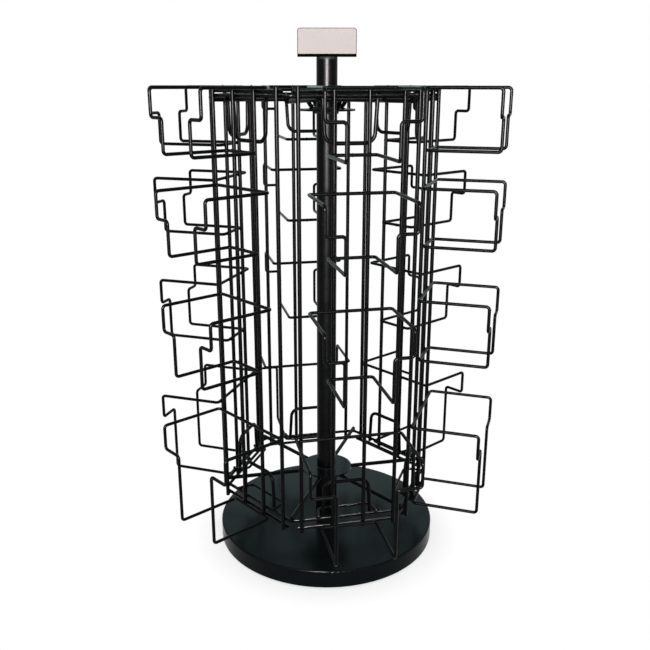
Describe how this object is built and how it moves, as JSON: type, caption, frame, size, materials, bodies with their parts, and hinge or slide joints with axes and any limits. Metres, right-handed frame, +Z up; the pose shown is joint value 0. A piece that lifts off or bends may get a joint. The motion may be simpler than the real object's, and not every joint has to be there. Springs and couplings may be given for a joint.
{
  "type": "rotating postcard stand",
  "caption": "Counter-top postcard stand: a hexagonal black wire rack with stepped wire pockets turns around a fixed pole on a round weighted base, with a small sign holder on top.",
  "frame": {"origin": "on the counter under the middle of the base, on the pole's axis", "axes": "+Z up along the pole, -Y the way the sign faces, +X to the right of someone who faces the sign"},
  "size_m": [0.3882, 0.387, 0.5774],
  "materials": {
    "wire_coat": "semi-gloss black powder coat on steel wire",
    "base_coat": "gloss slate-black powder coat",
    "disc_coat": "gloss slate-black powder coat",
    "pole_coat": "gloss black powder coat on steel tube",
    "sign_coat": "satin black powder coat on steel sheet",
    "sign_face": "plain pale plastic card",
    "iron": "bare cut plate",
    "rubber": "soft black rubber",
    "zinc": "bright zinc-plated steel",
    "nylon": "black nylon",
    "cap_plastic": "black moulded plastic"
  },
  "bodies": {
    "stand": {"base_pan": "base_coat", "base_ballast": "iron", "base_feet": "rubber", "pole_bolt": "zinc", "pole_bolt_washer": "zinc", "pole_tube": "pole_coat", "pole_foot_plug": "zinc", "pole_top_cap": "cap_plastic", "support_sleeve": "pole_coat", "thrust_washer": "nylon", "sign_foot_bar": "sign_coat", "sign_back_plate": "sign_coat", "sign_card": "sign_face", "sign_screw": "zinc"},
    "rack": {"lower_hub_disc": "disc_coat", "upper_hub_disc": "disc_coat", "lower_bush": "nylon", "upper_bush": "nylon", "lower_spokes": "wire_coat", "upper_spokes": "wire_coat", "frame_rings": "wire_coat", "upper_braces": "wire_coat", "lower_braces": "wire_coat", "inner_loops": "wire_coat", "panel_1_uprights": "wire_coat", "panel_1_cross_wires": "wire_coat", "panel_1_top_pocket": "wire_coat", "panel_1_upper_pocket": "wire_coat", "panel_1_lower_pocket": "wire_coat", "panel_1_bottom_pocket": "wire_coat", "panel_2_uprights": "wire_coat", "panel_2_cross_wires": "wire_coat", "panel_2_top_pocket": "wire_coat", "panel_2_upper_pocket": "wire_coat", "panel_2_lower_pocket": "wire_coat", "panel_2_bottom_pocket": "wire_coat", "panel_3_uprights": "wire_coat", "panel_3_cross_wires": "wire_coat", "panel_3_top_pocket": "wire_coat", "panel_3_upper_pocket": "wire_coat", "panel_3_lower_pocket": "wire_coat", "panel_3_bottom_pocket": "wire_coat", "panel_4_uprights": "wire_coat", "panel_4_cross_wires": "wire_coat", "panel_4_top_pocket": "wire_coat", "panel_4_upper_pocket": "wire_coat", "panel_4_lower_pocket": "wire_coat", "panel_4_bottom_pocket": "wire_coat", "panel_5_uprights": "wire_coat", "panel_5_cross_wires": "wire_coat", "panel_5_top_pocket": "wire_coat", "panel_5_upper_pocket": "wire_coat", "panel_5_lower_pocket": "wire_coat", "panel_5_bottom_pocket": "wire_coat", "panel_6_uprights": "wire_coat", "panel_6_cross_wires": "wire_coat", "panel_6_top_pocket": "wire_coat", "panel_6_upper_pocket": "wire_coat", "panel_6_lower_pocket": "wire_coat", "panel_6_bottom_pocket": "wire_coat"}
  },
  "joints": [
    {"name": "rack_spin", "type": "hinge", "parent": "stand", "child": "rack", "pos_m": [0, 0, 0], "axis": [0, 0, 1], "continuous": true}
  ]
}
